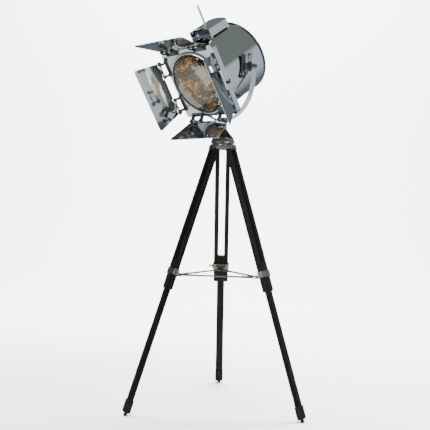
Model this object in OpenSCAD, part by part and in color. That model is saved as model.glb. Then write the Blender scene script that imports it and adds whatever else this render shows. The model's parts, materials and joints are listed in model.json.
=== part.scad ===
// Tripod floor lamp with a tilting drum head and four barn doors.
// Millimetres. +Z up, the beam leaves towards -Y, the tilt pins lie along X.

/* [Tripod] */
// Height of the leg hinge pins above the floor
hip_z = 1045; // [900:1:1200]
// Distance of a leg hinge pin from the middle of the stand
hip_r = 34.7; // [30:0.1:60]
// Angle between a leg and the upright
splay = 18.77; // [10:0.01:25]
// Direction of the right leg, seen from above
leg_turn = 13; // [0:1:119]
// Width of one wooden rail along the leg's hinge pin
rail_w = 17.5; // [10:0.5:24]
// Thickness of a rail
rail_t = 15; // [9:0.5:20]
// Gap between the two rails of a leg
rail_gap = 25.5; // [20:0.5:36]
// Distance from the hinge pin to the lower end of the rails
rail_end = 597; // [500:1:700]
// Distance from the hinge pin to the top of the sliding leg
slide_top = 480; // [420:1:540]
// Distance from the hinge pin to the middle of the clamp collar
clamp_s = 527; // [480:1:560]
// Height of the clamp collar
clamp_h = 24; // [16:1:32]
// Thickness of the sliding lower leg
leg_t = 18; // [10:0.5:20]
// Thickness of a spreader rod
rod_d = 7; // [5:0.5:10]

/* [Crown] */
// Underside of the crown block
block_z0 = 1056; // [1050:1:1070]
// Top of the crown block
block_z1 = 1079; // [1070:1:1090]
// Top of the crown cone
cone_z1 = 1111; // [1095:1:1130]
// Top of the post that the yoke turns on
post_z1 = 1145.7; // [1130:0.1:1160]
// Radius of the post
post_r = 14; // [10:0.5:20]

/* [Yoke] */
// Middle radius of the yoke's bend
yoke_r = 155; // [150:0.5:170]
// Width of the yoke strap
yoke_w = 22; // [16:1:36]
// Thickness of the yoke strap
yoke_t = 5; // [3:0.5:8]
// Height of the tilt pins
tilt_z = 1350; // [1300:1:1400]
// Length of the arms above the tilt pins
arm_rise = 60; // [20:1:80]

/* [Head] */
// How far the beam points below level
tilt_down = 33.5; // [-30:0.5:45]
// Radius of the drum
drum_r = 143.2; // [120:0.1:160]
// Thickness of the drum's sheet
sheet = 1.5; // [1:0.1:3]
// Drum length behind the head's middle
drum_back = 71; // [50:1:100]
// Drum length ahead of the head's middle
drum_front = 128; // [110:1:150]
// Side of the square front
front_side = 284; // [260:1:320]
// Corner radius of the square front
front_corner = 18; // [5:1:40]
// Position of the square front's back face
front_d0 = 148; // [130:1:160]
// Position of the square front's face
front_d1 = 170; // [160:1:200]
// Radius of the lens
lens_r = 119.5; // [90:0.5:122]
// Outer radius of the lens bezel
bezel_r = 131; // [110:1:135]
// Half the width of the roof vent
vent_w = 54; // [30:1:70]
// Front end of the roof vent
vent_d1 = 66; // [40:1:90]
// Rear end of the roof vent
vent_d0 = -44; // [-60:1:0]

/* [Barn doors] */
// Distance of a door hinge from the lens axis
door_a = 150; // [145:0.5:165]
// Position of a door hinge ahead of the head's middle
door_d = 190; // [180:1:200]
// Length of a door leaf
leaf_l = 115; // [80:1:140]
// Length of the top and bottom leaves
leaf_l2 = 121; // [80:1:140]
// Half width of a leaf at its hinge
leaf_w0 = 111; // [90:1:120]
// Half width of a leaf at its free edge
leaf_w1 = 132; // [100:1:135]
// Half width of the top and bottom leaves at the free edge
leaf_w2 = 137; // [100:1:140]
// Opening angle of the top leaf
open_top = 37; // [-8:1:100]
// Opening angle of the bottom leaf
open_bottom = 8; // [-8:1:30]
// Opening angle of the left leaf
open_left = 11; // [-8:1:100]
// Opening angle of the right leaf
open_right = 27; // [-8:1:100]

/* [Hidden] */
$fn = 64;
// shift that brings the middle of the outline over the origin
shift_x = -53.4790;
shift_y = 41.1468;
axis_rise = 20;
axis_back = 13;
leg_len = hip_z / cos(splay);
half_leg = rail_gap / 2 + rail_w;
shoe_top = leg_len - 61;
clamp_x = half_leg + 3;
eye_x = -33;
eye_y = 8;
eye_s = 531;
eye_r = hip_r + eye_s * sin(splay) + eye_x * cos(splay);
eye_z = hip_z - eye_s * cos(splay) + eye_x * sin(splay);
// a rod runs from its own eye to the hook pin of the next leg
rod_dx = eye_r * (cos(120) - 1) + eye_y * sin(120);
rod_dy = eye_r * sin(120) - eye_y * cos(120) - eye_y;
rod_len = sqrt(rod_dx * rod_dx + rod_dy * rod_dy);
rod_turn = atan2(rod_dy, rod_dx);
leg_on_rod_y = sin(splay) * -sin(rod_turn);
rod_roll = atan(leg_on_rod_y / cos(splay));
gap = 0.3;
fit = 0.05;

// ---- shared frames -------------------------------------------------------

module placed() {
    translate([shift_x, shift_y, 0]) children();
}

// local frame of a leg: origin at the hinge pin, -Z down the leg, +X outwards
module leg(turn) {
    placed() rotate([0, 0, turn]) translate([hip_r, 0, hip_z])
        rotate([0, -splay, 0]) children();
}

// frame of a rod: origin at the eye, +X along the rod, +Y along the eye's pin
module rod_frame(turn) {
    placed() rotate([0, 0, turn]) translate([eye_r, eye_y, eye_z])
        rotate([0, 0, rod_turn]) rotate([rod_roll, 0, 0]) children();
}

// the same frame at the rod's far end, on the next leg's hook pin
module hook_frame(turn) {
    rod_frame(turn - 120) translate([rod_len, 0, 0]) children();
}

// frame of the head: +X to the side, +Y up, +Z along the beam
module head() {
    placed() translate([0, 0, tilt_z]) rotate([tilt_down, 0, 0])
        translate([0, axis_back, axis_rise]) rotate([90, 0, 0]) children();
}

// side of the square front: +Y out from the lens axis, +X along the hinge
module side(turn) {
    head() rotate([0, 0, turn]) translate([0, door_a, door_d]) children();
}

module ring(r1, r0, z0, z1) {
    translate([0, 0, z0]) difference() {
        cylinder(h = z1 - z0, r = r1, $fn = 128);
        translate([0, 0, -1]) cylinder(h = z1 - z0 + 2, r = r0, $fn = 128);
    }
}

module rounded_square(side_len, r, h) {
    w = side_len / 2 - r;
    translate([-side_len / 2, -w, 0]) cube([side_len, 2 * w, h]);
    translate([-w, -side_len / 2, 0]) cube([2 * w, side_len, h]);
    for (x = [-w, w])
        for (y = [-w, w])
            translate([x, y, 0]) cylinder(h = h, r = r);
}

// two flat wings on a hub, in the XY plane, shaft along Z
module wings(reach, thick, tall) {
    for (a = [0, 180])
        rotate([0, 0, a]) translate([0, -thick / 2, 0]) rotate([90, 0, 0])
            translate([0, 0, -thick]) linear_extrude(thick)
                polygon([[0, 0], [reach * 0.55, 0], [reach, tall * 0.4],
                    [reach, tall], [reach * 0.7, tall], [0, tall * 0.5]]);
}

// ---- crown ---------------------------------------------------------------

face_tilt = atan(((50 - 42.5) * cos(30)) / (block_z1 - block_z0));
face_r = (50 + 42.5) / 2 * cos(30);

module crown_face() {
    placed() rotate([0, 0, leg_turn - 60])
        translate([face_r, 0, (block_z0 + block_z1) / 2])
            rotate([0, 90 - face_tilt, 0]) children();
}

module crown_block() {
    color([0.62, 0.58, 0.5]) difference() {
        union() {
            placed() rotate([0, 0, leg_turn - 30]) translate([0, 0, block_z0])
                cylinder(h = block_z1 - block_z0, r1 = 50, r2 = 42.5, $fn = 6);
            for (i = [0 : 2])
                placed() rotate([0, 0, leg_turn + 120 * i])
                    translate([hip_r, 0, hip_z]) {
                        rotate([90, 0, 0]) cylinder(h = 14, r = 9, center = true);
                        translate([-9, -7, 0]) cube([18, 14, block_z0 - hip_z + 1]);
                    }
        }
        for (i = [0 : 2])
            placed() rotate([0, 0, leg_turn + 120 * i]) translate([hip_r, 0, hip_z])
                rotate([90, 0, 0]) cylinder(h = 20, r = 4 + fit, center = true);
        crown_face() translate([0, 0, -16]) cylinder(h = 20, r = 3 + fit);
        placed() translate([0, 0, block_z1 - 12]) cylinder(h = 20, r = 5);
    }
}

module crown_cone() {
    color([0.25, 0.2, 0.15]) placed() difference() {
        translate([0, 0, block_z1])
            cylinder(h = cone_z1 - block_z1, r1 = 42, r2 = 15);
        translate([0, 0, block_z1 - 1])
            cylinder(h = cone_z1 - block_z1 + 2, r = 5);
    }
}

module pan_post() {
    color([0.72, 0.7, 0.66]) placed() {
        difference() {
            union() {
                translate([0, 0, cone_z1]) cylinder(h = post_z1 - cone_z1, r = post_r);
                translate([0, 0, cone_z1]) cylinder(h = 4, r = 15);
                translate([0, 0, post_z1 - 5]) cylinder(h = 5, r = 16);
            }
            translate([0, 0, post_z1 - 22]) cylinder(h = 30, r = 5);
        }
        translate([0, 0, block_z1 - 12])
            cylinder(h = cone_z1 - block_z1 + 12.5, r = 5);
    }
}

module crown_knob() {
    color([0.05, 0.05, 0.05]) crown_face() {
        translate([0, 0, -14]) cylinder(h = 15, r = 3);
        translate([0, 0, gap]) rotate([0, 0, 22.5]) cylinder(h = 9, r = 10.8, $fn = 8);
        translate([0, 0, 9]) rotate([0, 0, 22.5])
            cylinder(h = 4, r1 = 9.5, r2 = 7, $fn = 8);
        for (a = [-1, 1])
            translate([0, a * 13, 4]) {
                translate([-2, -6, -1.5]) cube([4, 12, 5]);
                translate([0, a * 8, -1.5]) rotate([0, 0, a * 35])
                    translate([-1.5, -5, 0]) cube([3, 12, 5]);
                translate([0, a * 8, -1.5]) rotate([0, 0, -a * 35])
                    translate([-1.5, -5, 0]) cube([3, 12, 5]);
            }
    }
}

// ---- legs ----------------------------------------------------------------

module leg_cap(turn) {
    color([0.7, 0.68, 0.62]) leg(turn) difference() {
        union() {
            rotate([90, 0, 0]) cylinder(h = 2 * half_leg + 4, r = 9, center = true);
            translate([-9.5, -half_leg - 2, -14]) cube([19, 2 * half_leg + 4, 14]);
        }
        translate([-20, -7 - gap, -10]) cube([40, 14 + 2 * gap, 40]);
        translate([-20, -rail_gap / 2 + 2, -20]) cube([40, rail_gap - 4, 9]);
        for (s = [-1, 1])
            translate([-rail_t / 2, s * (rail_gap + rail_w) / 2 - rail_w / 2, -20])
                cube([rail_t, rail_w, 14]);
        rotate([90, 0, 0]) cylinder(h = 80, r = 4, center = true);
        // narrow shadow grooves between the cheeks
        for (s = [-1, 1])
            translate([-20, s * 18 - 1, -2]) cube([12, 2, 20]);
        for (s = [-1, 1])
            translate([8, s * 18 - 1, -2]) cube([12, 2, 20]);
    }
}

module hip_bolt(turn) {
    color([0.5, 0.48, 0.44]) leg(turn) rotate([90, 0, 0]) {
        translate([0, 0, -half_leg - 2]) cylinder(h = 2 * half_leg + 4, r = 4);
        translate([0, 0, half_leg + 2]) cylinder(h = 4, r = 6.5);
        translate([0, 0, -half_leg - 6.5]) cylinder(h = 4.5, r = 6.5, $fn = 6);
    }
}

module rail(turn, s) {
    y0 = s > 0 ? rail_gap / 2 : -rail_gap / 2 - rail_w;
    outer = s * half_leg;
    color([0.04, 0.04, 0.045]) leg(turn) difference() {
        translate([-rail_t / 2, y0, -rail_end]) cube([rail_t, rail_w, rail_end - 6]);
        translate([-4.8, s * rail_gap / 2 - 3.1, -rail_end - 1])
            cube([9.6, 6.2, rail_end - 70]);
        // rounded lower corner
        difference() {
            translate([-20, outer - 5, -rail_end - 5]) cube([40, 10, 10]);
            translate([0, outer - s * 5, -rail_end + 5]) rotate([0, 90, 0])
                cylinder(h = 60, r = 5, center = true);
            translate([-20, s > 0 ? outer - 25 : outer + 5, -rail_end - 5])
                cube([40, 20, 20]);
        }
    }
}

module lower_leg(turn) {
    w = rail_gap / 2 - gap;
    t = leg_t / 2;
    color([0.045, 0.045, 0.05]) leg(turn) {
        translate([-t, -w, -shoe_top]) cube([2 * t, 2 * w, shoe_top - slide_top]);
        translate([-4.5, -w - 3, -shoe_top]) cube([9, 2 * w + 6, shoe_top - slide_top]);
    }
}

module foot(turn) {
    color([0.2, 0.19, 0.18]) difference() {
        leg(turn) {
            translate([-10.5, -17, -shoe_top - 47]) cube([21, 34, 47]);
            translate([-9, -14, -shoe_top - 50]) cube([18, 28, 5]);
            translate([0, 0, -leg_len - 6]) cylinder(h = 20, r = 6.5);
            for (s = [-12, -35])
                translate([0, 0, -shoe_top + s]) rotate([0, 90, 0])
                    cylinder(h = 23, r = 3.5, center = true);
        }
        placed() translate([-600, -600, -30]) cube([1200, 1200, 30]);
    }
}

module clamp(turn) {
    cx = rail_t / 2 + 3;
    color([0.6, 0.58, 0.52]) {
        leg(turn) difference() {
            union() {
                translate([-cx, -clamp_x + 3, -clamp_s - clamp_h / 2])
                    cube([2 * cx, 2 * clamp_x - 6, clamp_h]);
                translate([-cx + 3, -clamp_x, -clamp_s - clamp_h / 2])
                    cube([2 * cx - 6, 2 * clamp_x, clamp_h]);
                for (x = [-cx + 3, cx - 3])
                    for (y = [-clamp_x + 3, clamp_x - 3])
                        translate([x, y, -clamp_s - clamp_h / 2])
                            cylinder(h = clamp_h, r = 3);
                for (z = [-clamp_h / 2, clamp_h / 2 - 4])
                    translate([-cx - 1, -clamp_x - 1, -clamp_s + z])
                        cube([2 * cx + 2, 2 * clamp_x + 2, 4]);
                // boss of the thumbscrew
                translate([0, clamp_x, -clamp_s]) rotate([-90, 0, 0])
                    cylinder(h = 6, r = 7.5);
                // block that carries the eye and the hook pin
                translate([-cx - 12, -21, -clamp_s - clamp_h / 2])
                    cube([13, 42, 14]);
            }
            translate([-rail_t / 2, -half_leg, -clamp_s - 30])
                cube([rail_t, 2 * half_leg, 60]);
            translate([-leg_t / 2 - gap, -rail_gap / 2 - 1, -clamp_s - 30])
                cube([leg_t + 2 * gap, rail_gap + 2, 60]);
            translate([0, half_leg - 1, -clamp_s]) rotate([-90, 0, 0])
                cylinder(h = 30, r = 2.5 + fit);
        }
        // eye stud of this leg's rod
        rod_frame(turn) rotate([90, 0, 0]) {
            translate([0, 0, -7.5]) cylinder(h = 15, r = 2.5);
            translate([0, 0, 3.3]) cylinder(h = 3, r = 4.5);
        }
        rod_frame(turn) translate([-15, -6.3, -4.5]) cube([15, 3, 9]);
        // hook pin of the neighbour's rod
        hook_frame(turn) rotate([90, 0, 0]) translate([0, 0, -6.3])
            cylinder(h = 12.6, r = 2.5);
        hook_frame(turn) translate([-2.5, 4, -4.5]) cube([28, 2.5, 9]);
    }
}

module thumbscrew(turn) {
    color([0.55, 0.53, 0.48]) leg(turn) translate([0, 0, -clamp_s])
        rotate([-90, 0, 0]) {
            translate([0, 0, half_leg + gap])
                cylinder(h = clamp_x - half_leg + 12, r = 2.5);
            translate([0, 0, clamp_x + 9]) cylinder(h = 5, r = 4);
            translate([0, 0, clamp_x + 11]) wings(10, 2.4, 8);
        }
}

module spreader(turn) {
    r = rod_d / 2;
    color([0.45, 0.43, 0.4]) rod_frame(turn) {
        difference() {
            union() {
                rotate([90, 0, 0]) cylinder(h = 6, r = 5.5, center = true);
                translate([3, 0, 0]) rotate([0, 90, 0])
                    cylinder(h = rod_len - 13, r = r);
                translate([rod_len - 60, 0, 0]) rotate([0, 90, 0])
                    cylinder(h = 50, r = 4.6);
            }
            rotate([90, 0, 0]) cylinder(h = 20, r = 2.5 + fit, center = true);
            for (y = [3, -13])
                translate([-8, y, -8]) cube([16, 10, 16]);
        }
        translate([rod_len - 14, -3, -6.2]) cube([20, 6, 3.4]);
        translate([rod_len - 14, -3, -6.2]) cube([4, 6, 6.2]);
        translate([rod_len + 2.8, -3, -6.2]) cube([3.2, 6, 8.4]);
    }
}

// ---- yoke ----------------------------------------------------------------

bend_z = post_z1 + gap + yoke_r + yoke_t / 2;

module yoke() {
    color([0.85, 0.86, 0.88]) placed() difference() {
        union() {
            difference() {
                translate([0, 0, bend_z]) rotate([90, 0, 0])
                    ring(yoke_r + yoke_t / 2, yoke_r - yoke_t / 2,
                        -yoke_w / 2, yoke_w / 2);
                translate([-200, -30, bend_z]) cube([400, 60, 200]);
            }
            for (s = [-1, 1])
                translate([s * yoke_r - yoke_t / 2, -yoke_w / 2, bend_z])
                    cube([yoke_t, yoke_w, tilt_z + arm_rise - yoke_w / 2 - bend_z]);
            for (s = [-1, 1])
                translate([s * yoke_r - yoke_t / 2, 0, tilt_z + arm_rise - yoke_w / 2])
                    rotate([0, 90, 0]) cylinder(h = yoke_t, r = yoke_w / 2);
            translate([-18, -yoke_w / 2, post_z1 + gap]) cube([36, yoke_w, yoke_t + 2]);
        }
        for (s = [-1, 1])
            translate([s * yoke_r - 10, 0, tilt_z]) rotate([0, 90, 0])
                cylinder(h = 20, r = 4 + fit);
        translate([0, 0, post_z1 - 5]) cylinder(h = 20, r = 5 + fit);
    }
}

module pan_bolt() {
    z1 = post_z1 + gap + yoke_t + 2 + gap;
    color([0.5, 0.5, 0.5]) placed() {
        translate([0, 0, post_z1 - 22]) cylinder(h = z1 - post_z1 + 23, r = 5);
        translate([0, 0, z1]) cylinder(h = 7, r = 9, $fn = 6);
    }
}

module tilt_knob(s) {
    color([0.5, 0.5, 0.5]) placed() translate([0, 0, tilt_z])
        rotate([0, s * 90, 0]) translate([0, 0, yoke_r + yoke_t / 2 + gap])
            difference() {
                union() {
                    cylinder(h = 3, r = 10);
                    translate([0, 0, 2]) cylinder(h = 8, r = 8, $fn = 12);
                }
                translate([0, 0, -1]) cylinder(h = 30, r = 4 + fit);
            }
}

// ---- head ----------------------------------------------------------------

module side_boss(s) {
    color([0.8, 0.8, 0.82]) head() {
        difference() {
            translate([s * 130, -axis_rise, axis_back]) rotate([0, s * 90, 0])
                cylinder(h = yoke_r - yoke_t / 2 - gap - 130, r = 20);
            cylinder(h = 400, r = drum_r, center = true, $fn = 128);
        }
        translate([0, -axis_rise, axis_back]) rotate([0, s * 90, 0])
            translate([0, 0, 144]) cylinder(h = 27, r = 4);
        if (s > 0) tilt_quadrant();
    }
}

// slotted plate ahead of the right arm, with its star shaped lock nut
module tilt_quadrant() {
    w = yoke_r - yoke_t / 2;
    translate([0, -axis_rise, axis_back]) rotate([-tilt_down, 0, 0]) {
        difference() {
            translate([w - 6.7, -52, 38]) cube([3.4, 92, 22]);
            translate([w - 10, -46, 45.5]) cube([10, 38, 7]);
        }
        translate([w - 6.7, -4, 40]) rotate([0, 90, 0]) {
            cylinder(h = 6.4, r = 7);
            for (a = [0 : 60 : 120])
                rotate([0, 0, a]) translate([-13, -2.5, 3]) cube([26, 5, 3.4]);
        }
    }
    for (y = [-44, 32])
        difference() {
            translate([0, -axis_rise, axis_back]) rotate([-tilt_down, 0, 0])
                translate([110, y, 49]) rotate([0, 90, 0]) cylinder(h = w - 5 - 110, r = 3.2);
            cylinder(h = 500, r = drum_r, center = true, $fn = 128);
        }
}

module drum() {
    color([0.75, 0.78, 0.8]) head() difference() {
        ring(drum_r, drum_r - sheet, -drum_back, drum_front);
        translate([-vent_w + 12, 100, vent_d0 + 15])
            cube([2 * vent_w - 24, 60, vent_d1 - vent_d0 - 30]);
    }
}

module rear_cap() {
    r = drum_r - sheet;
    z = -drum_back;
    color([0.7, 0.72, 0.74]) head() difference() {
        rotate_extrude($fn = 128) polygon([[r, z + 12], [r, z - 6], [r - 6, z - 9],
            [r - 30, z - 14], [r - 60, z - 18], [r - 90, z - 20], [0, z - 20],
            [0, z - 18.5], [r - 90, z - 18.5], [r - 60, z - 16.5], [r - 30, z - 12.5],
            [r - 6, z - 7.5], [r - 1.5, z - 5], [r - 1.5, z + 12]]);
        translate([0, -86, z - 40]) cylinder(h = 60, r = 7);
        for (a = [0 : 30 : 359])
            rotate([0, 0, a]) translate([34, 0, z - 40]) cylinder(h = 60, r = 4);
    }
}

module rear_rim() {
    r = drum_r;
    z = -drum_back;
    color([0.03, 0.03, 0.03]) head() rotate_extrude($fn = 128)
        polygon([[r, z + 6], [r, z], [r - sheet, z], [r - sheet, z - 6], [r + 0.5, z - 6.8],
            [r + 2.6, z - 5], [r + 3.6, z - 2], [r + 3.6, z + 1], [r + 2.6, z + 4]]);
}

module front_collar() {
    color([0.8, 0.82, 0.84]) head() difference() {
        ring(drum_r + 3.6, drum_r, drum_front - 6, front_d0);
        for (a = [0 : 10 : 359])
            rotate([0, 0, a]) translate([0, -drum_r + 2, drum_front + 5])
                rotate([90, 0, 0]) cylinder(h = 10, r = 1.6);
    }
}

module front_box() {
    n = front_side;
    color([0.86, 0.88, 0.9]) head() difference() {
        translate([0, 0, front_d0]) rounded_square(n, front_corner, front_d1 - front_d0);
        translate([0, 0, front_d0 + 2])
            rounded_square(n - 4, front_corner - 2, front_d1 - front_d0 - 4);
        translate([0, 0, front_d1 - 4]) cylinder(h = 8, r = lens_r + 5, $fn = 128);
        translate([0, 0, front_d0 - 2]) cylinder(h = 8, r = 139, $fn = 128);
    }
}

module bezel() {
    d = front_d1;
    r = lens_r + 3.5;
    color([0.85, 0.86, 0.88]) head() rotate_extrude($fn = 128)
        polygon([[r, d - 5], [r + 1.5, d - 5], [r + 1.5, d], [bezel_r, d], [bezel_r, d + 3],
            [bezel_r - 1.5, d + 6], [bezel_r - 4, d + 7.5], [r, d + 8]]);
}

module gasket() {
    d = front_d1;
    color([0.02, 0.02, 0.02]) head()
        rotate_extrude($fn = 128) polygon([[lens_r, d - 5], [lens_r + 3.5, d - 5],
            [lens_r + 3.5, d + 9], [lens_r - 1.5, d + 9], [lens_r - 1.5, d + 4],
            [lens_r, d + 4]]);
}

module lens() {
    d = front_d1;
    color([0.85, 0.9, 0.9, 0.35]) head() rotate_extrude($fn = 128)
        polygon(concat([[0, d - 3], [lens_r, d - 3], [lens_r, d + 4], [lens_r - 1.5, d + 4]],
            [for (a = [0 : 9 : 90]) [(lens_r - 1.5) * cos(a), d + 6 + 19 * sin(a)]]));
}

module reflector() {
    color([0.8, 0.8, 0.78]) head() rotate_extrude($fn = 128)
        polygon([[27, -30], [40, -22], [58, -6], [78, 20], [96, 50], [112, 84],
            [124, 115], [drum_r - sheet, 115], [drum_r - sheet, 116.2],
            [123, 116.2], [111, 85], [95, 51], [77, 21.4], [57, -4.8],
            [39, -20.8], [27, -28.6], [24, -28.6], [24, -30]]);
}

module lampholder() {
    z = -drum_back - 18.5;
    color([0.9, 0.89, 0.85]) head() difference() {
        union() {
            translate([0, 0, z]) cylinder(h = 4, r = 28);
            translate([0, 0, z + 4]) cylinder(h = 58, r = 20);
            translate([0, 0, z + 56]) cylinder(h = 26, r = 24);
        }
        translate([0, 0, z + 30]) cylinder(h = 60, r = 14);
    }
}

module bulb() {
    z = -drum_back - 18.5;
    color([1, 0.96, 0.85, 0.5]) head() rotate_extrude()
        polygon([[0, z + 34], [6, z + 34], [14, z + 40], [14, z + 84], [20, 2], [30, 14],
            [37, 28], [40, 44], [37, 60], [28, 74], [15, 83], [0, 86]]);
}

module vent_box() {
    d0 = vent_d0;
    w = vent_w;
    color([0.78, 0.8, 0.82]) head() difference() {
        translate([0, 0, d0]) linear_extrude(vent_d1 - d0)
            polygon([[-w, 118], [-w, 169], [-w + 2, 171.5], [-w + 12, 174.5], [-w + 24, 176.8],
                [-w + 38, 178.4], [0, 179], [w - 38, 178.4], [w - 24, 176.8],
                [w - 12, 174.5], [w - 2, 171.5], [w, 169], [w, 118]]);
        translate([0, 0, d0 + 2]) linear_extrude(vent_d1 - d0)
            polygon([[-w + 1.6, 100], [-w + 1.6, 168.4], [-w + 3, 170.2], [-w + 12.5, 172.9],
                [-w + 24.4, 175.2], [-w + 38.2, 176.8], [0, 177.4], [w - 38.2, 176.8],
                [w - 24.4, 175.2], [w - 12.5, 172.9], [w - 3, 170.2], [w - 1.6, 168.4],
                [w - 1.6, 100]]);
        cylinder(h = 400, r = drum_r, center = true, $fn = 128);
        // vent slots low in both side walls
        for (s = [-1, 1])
            translate([s * w - 5, 132, d0 + 12]) cube([10, 6.5, vent_d1 - d0 - 20]);
    }
    // lip that closes the lower half of the mouth and curls back inside
    color([0.85, 0.86, 0.88]) head() difference() {
        translate([-w, 0, 0]) rotate([90, 0, 90]) linear_extrude(2 * w)
            polygon([[120, vent_d1 + 1], [146, vent_d1], [150, vent_d1 - 4],
                [156, vent_d1 - 14], [165, vent_d1 - 34], [163.5, vent_d1 - 35],
                [154.2, vent_d1 - 15], [148.4, vent_d1 - 5.4], [145, vent_d1 - 2],
                [120, vent_d1 - 1]]);
        cylinder(h = 400, r = drum_r, center = true, $fn = 128);
    }
}

module lift_rod() {
    color([0.9, 0.9, 0.9]) head() translate([-64, 0, -40]) rotate([-90, 0, 0])
        difference() {
            union() {
                translate([0, 0, 120]) cylinder(h = 120, r = 5);
                translate([0, 0, 240]) sphere(r = 5);
                translate([0, 0, 120]) cylinder(h = 16, r = 8);
            }
            translate([64, 0, 0]) rotate([90, 0, 0])
                cylinder(h = 400, r = drum_r, center = true, $fn = 128);
        }
}

module cable_gland() {
    z = -drum_back;
    color([0.06, 0.06, 0.06]) head() translate([0, -86, z - 16]) difference() {
        union() {
            translate([0, 0, -9]) cylinder(h = 21, r = 7);
            translate([0, 0, -10]) cylinder(h = 6.8, r = 11, $fn = 6);
            translate([0, 0, -18]) cylinder(h = 8, r1 = 6.5, r2 = 9.5);
            translate([0, 0, 8]) cylinder(h = 4, r = 10, $fn = 6);
        }
        translate([0, 0, -30]) cylinder(h = 60, r = 3.3);
    }
}

// ---- barn doors ----------------------------------------------------------

module door(turn, open, l, w1) {
    c = 12;
    color([0.82, 0.85, 0.88]) side(turn) rotate([-open, 0, 0]) {
        difference() {
            union() {
                for (s = [-1, 1])
                    for (x = [61, 89])
                        translate([s * x, 0, 0]) rotate([0, 90, 0])
                            cylinder(h = 10, r = 5.5, center = true);
                for (s = [-1, 1])
                    translate([s * 75 - 19, 1.5, 0]) cube([38, 1.5, 10]);
                translate([-42, 1.5, 3.2]) cube([84, 1.5, 7]);
            }
            rotate([0, 90, 0]) cylinder(h = 300, r = 3 + fit, center = true);
        }
        translate([0, 1.5, 0]) rotate([90, 0, 0]) mirror([0, 0, 1]) linear_extrude(1.5)
            polygon([[-leaf_w0, 9], [-w1 + 1, l - c], [-w1 + 1.5, l - 6],
                [-w1 + 5, l - 1.6], [-w1 + c, l], [w1 - c, l], [w1 - 5, l - 1.6],
                [w1 - 1.5, l - 6], [w1 - 1, l - c], [leaf_w0, 9]]);
    }
}

// knob and twin struts on the outer face of the right leaf
module leaf_stay() {
    color([0.04, 0.04, 0.04]) side(270) rotate([-open_right, 0, 0])
        translate([-62, 3, 91]) rotate([-90, 0, 0]) {
            cylinder(h = 4, r = 6);
            cylinder(h = 11, r = 8.5, $fn = 8);
            for (y = [-4, 4])
                rotate([0, 0, 45]) translate([0, y - 1.5, 0]) cube([88, 3, 4]);
            rotate([0, 0, 45]) translate([82, -5.5, 0]) cube([8, 11, 4]);
        }
}

module door_brackets() {
    color([0.5, 0.52, 0.54]) for (t = [0, 90, 180, 270])
        for (s = [-1, 1])
            side(t) difference() {
                union() {
                    for (x = [51, 101])
                        translate([s * x, 0, 0]) {
                            rotate([0, 90, 0]) cylinder(h = 7, r = 7.5, center = true);
                            rotate([0, -90, 0]) translate([0, 0, -3.5]) linear_extrude(7)
                                polygon([[3, -7.4], [-20, -22], [-20, -9], [-6, 5]]);
                        }
                    translate([s * 76 - 34, -25, -20]) cube([68, 16, 2.5]);
                }
                rotate([0, 90, 0]) cylinder(h = 300, r = 3, center = true);
            }
}

module door_pins() {
    color([0.04, 0.04, 0.04]) for (t = [0, 90, 180, 270])
        side(t) {
            for (s = [-1, 1])
                rotate([0, s * 90, 0]) {
                    translate([0, 0, 45]) cylinder(h = 66, r = 3);
                    translate([0, 0, 44]) cylinder(h = 3.5, r = 5.5);
                    translate([0, 0, 104.5]) cylinder(h = 5, r = 9, $fn = 8);
                    translate([0, 0, 108]) cylinder(h = 7, r = 5.5);
                }
        }
    // knob in the middle of the right side of the square front
    color([0.04, 0.04, 0.04]) head() translate([front_side / 2, -15, front_d0 + 11])
        rotate([0, 90, 0]) {
            cylinder(h = 4, r = 4);
            translate([0, 0, 2.5]) cylinder(h = 6, r = 6);
        }
}

module latch_knob() {
    color([0.05, 0.05, 0.05]) head() rotate([0, 0, -33])
        translate([drum_r + 3.6, 0, front_d0 - 13]) rotate([0, 90, 0]) {
            cylinder(h = 12, r = 7.5);
            translate([0, 0, 6]) wings(13, 5, 13);
        }
}

module rivets() {
    h = front_side / 2;
    color([0.6, 0.6, 0.6]) head() {
        for (t = [0, 90, 180, 270])
            for (x = [-100, -78, 0, 78, 100])
                rotate([0, 0, t]) translate([x, h, front_d1 - 9]) rotate([-90, 0, 0])
                    cylinder(h = 1.2, r = 2.2);
        for (s = [-1, 1])
            for (z = [-30, -14])
                for (y = [150, 161])
                    translate([s * vent_w, y, z]) rotate([0, s * 90, 0])
                        cylinder(h = 1.2, r = 2);
    }
}

// ---- nodes ---------------------------------------------------------------

module leg_cap_right() { leg_cap(leg_turn); }
module leg_cap_back() { leg_cap(leg_turn + 120); }
module leg_cap_front() { leg_cap(leg_turn + 240); }
module hip_bolt_right() { hip_bolt(leg_turn); }
module hip_bolt_back() { hip_bolt(leg_turn + 120); }
module hip_bolt_front() { hip_bolt(leg_turn + 240); }
module rail_right_a() { rail(leg_turn, 1); }
module rail_right_b() { rail(leg_turn, -1); }
module rail_back_a() { rail(leg_turn + 120, 1); }
module rail_back_b() { rail(leg_turn + 120, -1); }
module rail_front_a() { rail(leg_turn + 240, 1); }
module rail_front_b() { rail(leg_turn + 240, -1); }
module lower_leg_right() { lower_leg(leg_turn); }
module lower_leg_back() { lower_leg(leg_turn + 120); }
module lower_leg_front() { lower_leg(leg_turn + 240); }
module foot_right() { foot(leg_turn); }
module foot_back() { foot(leg_turn + 120); }
module foot_front() { foot(leg_turn + 240); }
module clamp_right() { clamp(leg_turn); }
module clamp_back() { clamp(leg_turn + 120); }
module clamp_front() { clamp(leg_turn + 240); }
module thumbscrew_right() { thumbscrew(leg_turn); }
module thumbscrew_back() { thumbscrew(leg_turn + 120); }
module thumbscrew_front() { thumbscrew(leg_turn + 240); }
module spreader_right() { spreader(leg_turn); }
module spreader_back() { spreader(leg_turn + 120); }
module spreader_front() { spreader(leg_turn + 240); }
module tilt_knob_left() { tilt_knob(-1); }
module tilt_knob_right() { tilt_knob(1); }
module side_boss_left() { side_boss(-1); }
module side_boss_right() { side_boss(1); }
module door_top() { door(0, open_top, leaf_l2, leaf_w2); }
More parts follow.
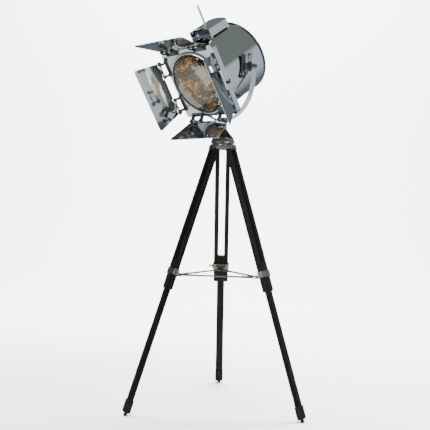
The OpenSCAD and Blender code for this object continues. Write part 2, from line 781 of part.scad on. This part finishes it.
module door_left() { door(90, open_left, leaf_l, leaf_w1); }
module door_bottom() { door(180, open_bottom, leaf_l2, leaf_w2); }
module door_right() { door(270, open_right, leaf_l, leaf_w1); }

crown_block();
crown_cone();
pan_post();
crown_knob();
leg_cap_right();
leg_cap_back();
leg_cap_front();
hip_bolt_right();
hip_bolt_back();
hip_bolt_front();
rail_right_a();
rail_right_b();
rail_back_a();
rail_back_b();
rail_front_a();
rail_front_b();
lower_leg_right();
lower_leg_back();
lower_leg_front();
foot_right();
foot_back();
foot_front();
clamp_right();
clamp_back();
clamp_front();
thumbscrew_right();
thumbscrew_back();
thumbscrew_front();
spreader_right();
spreader_back();
spreader_front();
yoke();
pan_bolt();
tilt_knob_left();
tilt_knob_right();
side_boss_left();
side_boss_right();
drum();
rear_cap();
rear_rim();
front_collar();
front_box();
bezel();
gasket();
lens();
reflector();
lampholder();
bulb();
vent_box();
lift_rod();
cable_gland();
door_top();
door_bottom();
door_left();
door_right();
leaf_stay();
door_brackets();
door_pins();
latch_knob();
rivets();
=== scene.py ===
import json
import math
import bpy
import numpy as np
from mathutils import Matrix, Vector


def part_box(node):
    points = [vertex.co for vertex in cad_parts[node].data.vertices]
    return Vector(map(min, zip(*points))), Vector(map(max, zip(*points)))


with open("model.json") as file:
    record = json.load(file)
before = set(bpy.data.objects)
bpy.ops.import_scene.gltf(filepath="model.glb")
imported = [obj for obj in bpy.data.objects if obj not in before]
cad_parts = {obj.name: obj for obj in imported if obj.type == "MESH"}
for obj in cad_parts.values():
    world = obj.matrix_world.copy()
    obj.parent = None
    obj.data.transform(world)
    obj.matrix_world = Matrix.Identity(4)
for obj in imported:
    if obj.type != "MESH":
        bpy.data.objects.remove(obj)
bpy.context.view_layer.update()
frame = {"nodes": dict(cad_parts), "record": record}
nodes = frame["nodes"]
print("frame loaded,", len(nodes), "CAD nodes")

postLow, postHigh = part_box("pan_post")
standX = (postLow.x + postHigh.x) / 2
standY = (postLow.y + postHigh.y) / 2
tiltHeight = 1.350
# the beam axis points 33.5 degrees below level
beamTurn = math.radians(90 + 33.5)
# the viewer stands this far round from straight in front of the lamp
viewTurn = Matrix.Rotation(math.radians(43.0), 3, "Z")

cameraView = {
    "place": (0.0980, -3.0553, 0.8335),
    "yaw": -0.0397,
    "pitch": -0.0213,
    "roll": 0.0282,
    "focalLength": 63.60,
    "sensorWidth": 36,
}


def makeCamera(v):
    # forward from yaw and pitch, then right and up turned by the roll about it
    yaw, pitch, roll = v["yaw"], v["pitch"], v["roll"]
    forward = Vector((math.sin(yaw) * math.cos(pitch), math.cos(yaw) * math.cos(pitch), math.sin(pitch)))
    levelRight = Vector((math.cos(yaw), -math.sin(yaw), 0))
    levelUp = levelRight.cross(forward)
    right = math.cos(roll) * levelRight + math.sin(roll) * levelUp
    up = -math.sin(roll) * levelRight + math.cos(roll) * levelUp
    data = bpy.data.cameras.new("viewCamera")
    data.lens = v["focalLength"]
    data.sensor_width = v["sensorWidth"]
    cam = bpy.data.objects.new("viewCamera", data)
    bpy.context.scene.collection.objects.link(cam)
    m = Matrix((viewTurn @ right, viewTurn @ up, viewTurn @ (-forward))).transposed().to_4x4()
    m.translation = viewTurn @ Vector(v["place"]) + Vector((standX, standY, 0))
    cam.matrix_world = m
    bpy.context.scene.camera = cam


makeCamera(cameraView)
print("camera set")


def newGroup(name, inputs, outputs):
    g = bpy.data.node_groups.new(name, "ShaderNodeTree")
    for label, kind, value in inputs:
        s = g.interface.new_socket(label, in_out="INPUT", socket_type=kind)
        if value is not None:
            s.default_value = value
    for label, kind in outputs:
        g.interface.new_socket(label, in_out="OUTPUT", socket_type=kind)
    return g, g.nodes.new("NodeGroupInput"), g.nodes.new("NodeGroupOutput")


def mathNode(t, kind, a, b=None, clamp=False):
    n = t.nodes.new("ShaderNodeMath")
    n.operation = kind
    n.use_clamp = clamp
    for i, x in enumerate((a, b)):
        if x is None:
            continue
        if isinstance(x, (int, float)):
            n.inputs[i].default_value = x
        else:
            t.links.new(x, n.inputs[i])
    return n.outputs[0]


def noiseNode(t, vector, scale, detail, rough):
    n = t.nodes.new("ShaderNodeTexNoise")
    t.links.new(vector, n.inputs["Vector"])
    if isinstance(scale, (int, float)):
        n.inputs["Scale"].default_value = scale
    else:
        t.links.new(scale, n.inputs["Scale"])
    n.inputs["Detail"].default_value = detail
    n.inputs["Roughness"].default_value = rough
    return n.outputs["Fac"]


def mixColor(t, fac, a, b):
    n = t.nodes.new("ShaderNodeMix")
    n.data_type = "RGBA"
    for socket, x in ((n.inputs[0], fac), (n.inputs[6], a), (n.inputs[7], b)):
        if isinstance(x, tuple):
            socket.default_value = (*x, 1.0)
        else:
            t.links.new(x, socket)
    return n.outputs[2]


def stretched(t, vector, scale):
    n = t.nodes.new("ShaderNodeMapping")
    t.links.new(vector, n.inputs["Vector"])
    n.inputs["Scale"].default_value = scale
    return n.outputs[0]


def toneInputs(*extra):
    # the sockets that every group of tones takes
    white, black = (1, 1, 1, 1), (0, 0, 0, 1)
    return [
        ("Vector", "NodeSocketVector", None),
        ("Light", "NodeSocketColor", white),
        ("Dark", "NodeSocketColor", black),
        *extra,
    ]


def smudgeGroup():
    # slow clouds for tone, fine specks for roughness and height
    g, gi, go = newGroup(
        "smudges",
        toneInputs(
            ("Base Roughness", "NodeSocketFloat", 0.2),
            ("Roughness Spread", "NodeSocketFloat", 0.1),
            ("Cloud Scale", "NodeSocketFloat", 20.0),
            ("Speck Scale", "NodeSocketFloat", 400.0),
        ),
        [("Color", "NodeSocketColor"), ("Roughness", "NodeSocketFloat"), ("Height", "NodeSocketFloat")],
    )
    v = gi.outputs["Vector"]
    cloud = noiseNode(g, v, gi.outputs["Cloud Scale"], 4.0, 0.6)
    speck = noiseNode(g, v, gi.outputs["Speck Scale"], 2.0, 0.6)
    g.links.new(mixColor(g, cloud, gi.outputs["Light"], gi.outputs["Dark"]), go.inputs["Color"])
    both = mathNode(g, "MULTIPLY", mathNode(g, "ADD", cloud, speck), gi.outputs["Roughness Spread"])
    g.links.new(mathNode(g, "ADD", both, gi.outputs["Base Roughness"], True), go.inputs["Roughness"])
    g.links.new(speck, go.inputs["Height"])
    return g


def grainGroup():
    # noise drawn out along one axis, as wood pores under paint
    g, gi, go = newGroup(
        "paintedGrain",
        toneInputs(("Base Roughness", "NodeSocketFloat", 0.4)),
        [("Color", "NodeSocketColor"), ("Roughness", "NodeSocketFloat"), ("Height", "NodeSocketFloat")],
    )
    v = stretched(g, gi.outputs["Vector"], (260.0, 260.0, 9.0))
    pores = noiseNode(g, v, 1.0, 5.0, 0.65)
    wear = noiseNode(g, gi.outputs["Vector"], 35.0, 4.0, 0.6)
    g.links.new(mixColor(g, pores, gi.outputs["Dark"], gi.outputs["Light"]), go.inputs["Color"])
    spread = mathNode(g, "MULTIPLY", mathNode(g, "ADD", pores, wear), 0.16)
    g.links.new(mathNode(g, "ADD", spread, gi.outputs["Base Roughness"], True), go.inputs["Roughness"])
    g.links.new(pores, go.inputs["Height"])
    return g


def paintedGlintGroup():
    # painted light: warm golden glints painted as creased patches over a dark tone that is painted shade,
    # with a painted glow; a ridged noise raised to a power, stronger away from the axis of the pattern (x
    # and y across it, in metres)
    g, gi, go = newGroup(
        "paintedGlintsAndGlow",
        toneInputs(("Glow", "NodeSocketColor", (0, 0, 0, 1)), ("Scale", "NodeSocketFloat", 20.0)),
        [("Color", "NodeSocketColor"), ("Glow", "NodeSocketColor"), ("Height", "NodeSocketFloat")],
    )
    v = gi.outputs["Vector"]
    split = g.nodes.new("ShaderNodeSeparateXYZ")
    g.links.new(v, split.inputs[0])
    xSquared, ySquared = (mathNode(g, "POWER", split.outputs[i], 2.0) for i in (0, 1))
    far = mathNode(g, "SQRT", mathNode(g, "ADD", xSquared, ySquared))
    # rim = 14 (far - 0.035), held between 0 and 1, plus 0.12
    rim = mathNode(g, "MULTIPLY", mathNode(g, "SUBTRACT", far, 0.035), 14.0, True)
    rim = mathNode(g, "ADD", rim, 0.12, True)
    cloud = noiseNode(g, v, gi.outputs["Scale"], 3.0, 0.55)
    # ridge = (1 - 2 |cloud - 0.5|) ^ 6
    away = mathNode(g, "ABSOLUTE", mathNode(g, "SUBTRACT", cloud, 0.5))
    edge = mathNode(g, "SUBTRACT", 1.0, mathNode(g, "MULTIPLY", away, 2.0))
    ridge = mathNode(g, "POWER", edge, 6.0)
    patch = mathNode(g, "MULTIPLY", mathNode(g, "SUBTRACT", cloud, 0.38), 3.0, True)
    # the painted glints: golden highlights painted into the colour along the raised ridges, over the dark
    # painted shade
    paintedGlint = mathNode(g, "MULTIPLY", mathNode(g, "MULTIPLY", ridge, patch), rim)
    g.links.new(mixColor(g, paintedGlint, gi.outputs["Dark"], gi.outputs["Light"]), go.inputs["Color"])
    # the same glints also glow: a painted glow on a part that is no lamp
    glow = mixColor(g, mathNode(g, "POWER", paintedGlint, 3.0), (0.0, 0.0, 0.0), gi.outputs["Glow"])
    g.links.new(glow, go.inputs["Glow"])
    g.links.new(cloud, go.inputs["Height"])
    return g


smudges = smudgeGroup()
paintedGlintsAndGlow = paintedGlintGroup()
paintedGrain = grainGroup()
print("shared effects made")


def newMaterial(name):
    m = bpy.data.materials.new(name)
    m.use_nodes = True
    t = m.node_tree
    t.nodes.clear()
    out = t.nodes.new("ShaderNodeOutputMaterial")
    shader = t.nodes.new("ShaderNodeBsdfPrincipled")
    t.links.new(shader.outputs[0], out.inputs[0])
    return m, t, shader


def objectCoords(t):
    return t.nodes.new("ShaderNodeTexCoord").outputs["Object"]


def plainMaterial(name, color, rough):
    m, _, shader = newMaterial(name)
    shader.inputs["Base Color"].default_value = (*color, 1.0)
    shader.inputs["Roughness"].default_value = rough
    return m


def placeGroup(t, group, vector, values):
    n = t.nodes.new("ShaderNodeGroup")
    n.node_tree = group
    t.links.new(vector, n.inputs["Vector"])
    for k, x in values.items():
        n.inputs[k].default_value = (*x, 1.0) if isinstance(x, tuple) else x
    return n


def addBump(t, shader, height, strength, distance):
    b = t.nodes.new("ShaderNodeBump")
    b.inputs["Strength"].default_value = strength
    b.inputs["Distance"].default_value = distance
    t.links.new(height, b.inputs["Height"])
    t.links.new(b.outputs[0], shader.inputs["Normal"])


def finishMaterial(v):
    m, t, shader = newMaterial(v["name"])
    g = placeGroup(t, smudges, objectCoords(t), {
        "Light": v["light"],
        "Dark": v["dark"],
        "Base Roughness": v["rough"],
        "Roughness Spread": v["spread"],
        "Cloud Scale": v["cloudScale"],
        "Speck Scale": v["speckScale"],
    })
    t.links.new(g.outputs["Color"], shader.inputs["Base Color"])
    t.links.new(g.outputs["Roughness"], shader.inputs["Roughness"])
    shader.inputs["Metallic"].default_value = v["metal"]
    shader.inputs["Coat Weight"].default_value = v.get("coat", 0.0)
    if v["bump"]:
        addBump(t, shader, g.outputs["Height"], v["bump"], v.get("bumpDistance", 0.0004))
    return m


def woodMaterial(v):
    m, t, shader = newMaterial("blackWood")
    g = placeGroup(t, paintedGrain, objectCoords(t), {
        "Light": v["light"],
        "Dark": v["dark"],
        "Base Roughness": v["rough"],
    })
    t.links.new(g.outputs["Color"], shader.inputs["Base Color"])
    t.links.new(g.outputs["Roughness"], shader.inputs["Roughness"])
    shader.inputs["Specular IOR Level"].default_value = v["specular"]
    addBump(t, shader, g.outputs["Height"], 0.2, 0.0003)
    return m


def glassMaterial(v):
    m, t, shader = newMaterial(v["name"])
    shader.inputs["Base Color"].default_value = (*v["color"], 1.0)
    shader.inputs["Transmission Weight"].default_value = v["clear"]
    shader.inputs["IOR"].default_value = 1.5
    shader.inputs["Coat Weight"].default_value = v["coat"]
    if "glow" in v:
        shader.inputs["Emission Color"].default_value = (*v["glow"], 1.0)
        shader.inputs["Emission Strength"].default_value = v["glowStrength"]
    g = placeGroup(t, smudges, objectCoords(t), {"Base Roughness": v["rough"], "Roughness Spread": 0.02})
    t.links.new(g.outputs["Roughness"], shader.inputs["Roughness"])
    return m


def reflectorMaterial(v):
    m, t, shader = newMaterial("spunReflector")
    # the pattern's axis lies in the beam's direction, through the middle of the tilt axis
    place = t.nodes.new("ShaderNodeMapping")
    place.vector_type = "TEXTURE"
    place.inputs["Location"].default_value = (standX, standY, tiltHeight)
    place.inputs["Rotation"].default_value = (beamTurn, 0, 0)
    t.links.new(objectCoords(t), place.inputs["Vector"])
    g = placeGroup(t, paintedGlintsAndGlow, place.outputs[0], {
        "Light": v["light"],
        "Dark": v["dark"],
        "Glow": v["glow"],
        "Scale": v["scale"],
    })
    # painted shade and painted golden glints in the base colour, painted glow in the emission
    t.links.new(g.outputs["Color"], shader.inputs["Base Color"])
    t.links.new(g.outputs["Glow"], shader.inputs["Emission Color"])
    shader.inputs["Emission Strength"].default_value = v["glowStrength"]
    shader.inputs["Metallic"].default_value = 1.0
    shader.inputs["Roughness"].default_value = v["rough"]
    addBump(t, shader, g.outputs["Height"], 0.8, 0.03)
    return m


finishLooks = {
    "chrome": {
        "name": "polishedChrome", "light": (0.80, 0.83, 0.83), "dark": (0.72, 0.75, 0.76),
        "rough": 0.025, "spread": 0.03, "metal": 1.0, "cloudScale": 14.0, "speckScale": 300.0, "bump": 0.0,
    },
    "aged_nickel": {
        "name": "agedNickel", "light": (0.50, 0.46, 0.38), "dark": (0.17, 0.15, 0.12),
        "rough": 0.13, "spread": 0.12, "metal": 1.0, "cloudScale": 90.0, "speckScale": 900.0, "bump": 0.12,
    },
    "dark_bronze": {
        "name": "darkBronze", "light": (0.085, 0.066, 0.05), "dark": (0.03, 0.024, 0.02),
        "rough": 0.20, "spread": 0.12, "metal": 1.0, "cloudScale": 70.0, "speckScale": 800.0, "bump": 0.1,
    },
    "fasteners": {
        "name": "dullSteel", "light": (0.50, 0.48, 0.44), "dark": (0.28, 0.27, 0.25),
        "rough": 0.24, "spread": 0.12, "metal": 1.0, "cloudScale": 120.0, "speckScale": 900.0, "bump": 0.08,
    },
    "rod_steel": {
        "name": "rodSteel", "light": (0.34, 0.32, 0.28), "dark": (0.16, 0.15, 0.13),
        "rough": 0.24, "spread": 0.14, "metal": 1.0, "cloudScale": 80.0, "speckScale": 900.0, "bump": 0.1,
    },
    "dark_iron": {
        "name": "darkIron", "light": (0.04, 0.038, 0.035), "dark": (0.015, 0.015, 0.015),
        "rough": 0.35, "spread": 0.15, "metal": 0.9, "cloudScale": 60.0, "speckScale": 700.0, "bump": 0.2,
    },
    "black_fittings": {
        "name": "blackFittings", "light": (0.02, 0.02, 0.021), "dark": (0.006, 0.006, 0.007),
        "rough": 0.2, "spread": 0.1, "metal": 0.0, "cloudScale": 60.0, "speckScale": 900.0, "bump": 0.06,
        "bumpDistance": 0.0003, "coat": 0.4,
    },
    "rubber": {
        "name": "blackRubber", "light": (0.02, 0.02, 0.02), "dark": (0.008, 0.008, 0.008),
        "rough": 0.45, "spread": 0.15, "metal": 0.0, "cloudScale": 60.0, "speckScale": 1200.0, "bump": 0.2,
    },
    "ceramic": {
        "name": "lampCeramic", "light": (0.82, 0.80, 0.75), "dark": (0.70, 0.68, 0.62),
        "rough": 0.15, "spread": 0.1, "metal": 0.0, "cloudScale": 40.0, "speckScale": 900.0, "bump": 0.05,
    },
    "white_rod": {
        "name": "brightRod", "light": (0.93, 0.93, 0.93), "dark": (0.85, 0.85, 0.86),
        "rough": 0.15, "spread": 0.06, "metal": 0.8, "cloudScale": 60.0, "speckScale": 900.0, "bump": 0.03,
    },
}
woodLook = {
    "light": (0.008, 0.008, 0.009),
    "dark": (0.0025, 0.0025, 0.003),
    "rough": 0.28,
    "specular": 0.15,
}
lensLook = {
    "name": "lensGlass",
    "color": (0.95, 0.92, 0.82),
    "rough": 0.0,
    "clear": 1.0,
    "coat": 0.2,
}
bulbLook = {
    "name": "bulbGlass",
    "color": (0.98, 0.92, 0.80),
    "rough": 0.05,
    "clear": 0.5,
    "coat": 0.0,
    "glow": (1.0, 0.60, 0.20),
    "glowStrength": 1.2,
}
# reflector tones: the dark tone is painted shade inside the lamp, the light tone is painted golden glints,
# and the glow is a painted glow
reflectorLook = {
    "light": (0.95, 0.66, 0.27),
    "dark": (0.15, 0.16, 0.12),
    "glow": (1.0, 0.52, 0.10),
    "glowStrength": 2.5,
    "scale": 26.0,
    "rough": 0.06,
}

finishes = {slot: finishMaterial(v) for slot, v in finishLooks.items()}
finishes["reflector"] = reflectorMaterial(reflectorLook)
finishes["black_wood"] = woodMaterial(woodLook)
finishes["lens_glass"] = glassMaterial(lensLook)
finishes["bulb_glass"] = glassMaterial(bulbLook)
print("materials made:", len(finishes))

slotOf = {s["node"]: s["material_slot"] for s in frame["record"]["subparts"]}
for name, o in nodes.items():
    for s in o.material_slots:
        s.material = finishes[slotOf[name]]
    if not o.material_slots:
        o.data.materials.append(finishes[slotOf[name]])

stageLook = {
    "floorColor": (0.95, 0.95, 0.95),
    "floorSize": 30.0,
    "wallDistance": 6.0,
    "wallHeight": 8.0,
    "bendRadius": 2.0,
    "worldStrength": 1.0,
    "skyColor": (0.19, 0.215, 0.205),
    "horizonColor": (0.13, 0.15, 0.185),
    "sideColor": (0.58, 0.64, 0.71),
    "groundColor": (0.95, 1.0, 0.97),
    "backPower": 2300,
    "keyPower": 80,
    "fillPower": 40,
    "topPower": 330,
    "lowPower": 9,
}


def stageObject(name, corners, faces, material):
    me = bpy.data.meshes.new(name)
    me.from_pydata(corners, [], faces)
    me.materials.append(material)
    o = bpy.data.objects.new(name, me)
    bpy.context.scene.collection.objects.link(o)
    return o


def makeStage(v):
    # a flat floor that turns up into a wall through a quarter circle, as a profile carried
    # along X and then turned to the viewer: y = reach - bend + bend sin(angle), z = bend (1 - cos(angle))
    half, bend, reach = v["floorSize"] / 2, v["bendRadius"], v["wallDistance"]
    count = 40
    s = np.linspace(0, 1, count)
    # the first 0.3 of the profile is floor, the last 0.3 is wall
    angle = np.clip((s - 0.3) / 0.4, 0, 1) * np.pi / 2
    floorY = -half + (s / 0.3) * (half + reach - bend)
    y = np.where(s < 0.3, floorY, reach - bend + bend * np.sin(angle))
    z = bend * (1 - np.cos(angle)) + np.clip((s - 0.7) / 0.3, 0, 1) * v["wallHeight"]
    x = np.array([-half, half])
    grid = np.stack([np.tile(x, (count, 1)), np.repeat(y[:, None], 2, 1), np.repeat(z[:, None], 2, 1)], -1)
    corners = grid.reshape(-1, 3) @ np.array(viewTurn).T
    i = np.arange(count - 1) * 2
    faces = np.stack([i, i + 1, i + 3, i + 2], 1)
    paleFloor = plainMaterial("paleFloor", v["floorColor"], 0.9)
    o = stageObject("backdrop", corners.tolist(), faces.tolist(), paleFloor)
    for p in o.data.polygons:
        p.use_smooth = True
    # mirrors and glass see the room instead of the floor
    o.visible_glossy = False
    o.visible_transmission = False


makeStage(stageLook)


def darkCard(name, place, target, width, height):
    # a flat black board, square on to what it faces
    back = (Vector(place) - Vector(target)).normalized()
    side = Vector((0, 0, 1)).cross(back).normalized() * width / 2
    up = back.cross(side).normalized() * height / 2
    signs = ((-1, -1), (1, -1), (1, 1), (-1, 1))
    corners = [tuple(Vector(place) + side * i + up * j) for i, j in signs]
    o = stageObject(name, corners, [(3, 2, 1, 0)], plainMaterial(name, (0.01, 0.01, 0.01), 0.9))
    # it shades and is mirrored, but no view shows it
    o.visible_camera = False


darkCard("upperCard", (-1.42, -0.15, 2.50), (0, -0.2, 1.15), 1.1, 0.9)


def areaLight(name, place, target, size, power, mirrored=True):
    data = bpy.data.lights.new(name, "AREA")
    data.shape = "RECTANGLE"
    data.size, data.size_y = size
    data.energy = power
    o = bpy.data.objects.new(name, data)
    bpy.context.scene.collection.objects.link(o)
    d = Vector(target) - Vector(place)
    o.rotation_euler = d.to_track_quat("-Z", "Y").to_euler()
    o.location = place
    o.visible_glossy = mirrored


def makeLights(v):
    key, fill, top, back, wall = (viewTurn @ Vector(p) for p in (
        (-3.4, -2.6, 2.6), (3.4, 1.2, 1.4), (0, 0, 4.4), (0, 1.6, 5.6), (0, 6.0, 1.2)))
    head = (0, 0, 1.2)
    areaLight("keyLight", key, head, (1.2, 2.0), v["keyPower"])
    areaLight("fillLight", fill, head, (0.8, 2.4), v["fillPower"], False)
    areaLight("lowLight", (-0.95, -1.65, 0.06), (0, -0.15, 1.35), (1.2, 0.7), v["lowPower"])
    areaLight("topLight", top, (0, 0, 0), (3.0, 3.0), v["topPower"], False)
    areaLight("backLight", back, wall, (6.0, 1.5), v["backPower"], False)


makeLights(stageLook)


def makeWorld(v):
    # colour by the direction looked in: ground below, a dark back and a pale right side at eye level,
    # darker room above
    w = bpy.data.worlds.new("softRoom")
    bpy.context.scene.world = w
    w.use_nodes = True
    t = w.node_tree
    back = t.nodes["Background"]
    coords = t.nodes.new("ShaderNodeTexCoord")
    split = t.nodes.new("ShaderNodeSeparateXYZ")
    t.links.new(coords.outputs["Generated"], split.inputs[0])
    x, z = split.outputs[0], split.outputs[2]
    side = mathNode(t, "MULTIPLY", mathNode(t, "ADD", x, 0.15), 1.6, True)
    level = mixColor(t, side, v["horizonColor"], v["sideColor"])
    low = mathNode(t, "MULTIPLY", mathNode(t, "ADD", z, 0.50), 6.0, True)
    high = mathNode(t, "MULTIPLY", mathNode(t, "ADD", z, -0.42), 8.0, True)
    color = mixColor(t, high, mixColor(t, low, v["groundColor"], level), v["skyColor"])
    t.links.new(color, back.inputs[0])
    back.inputs[1].default_value = v["worldStrength"]


makeWorld(stageLook)
print("stage and lights set")
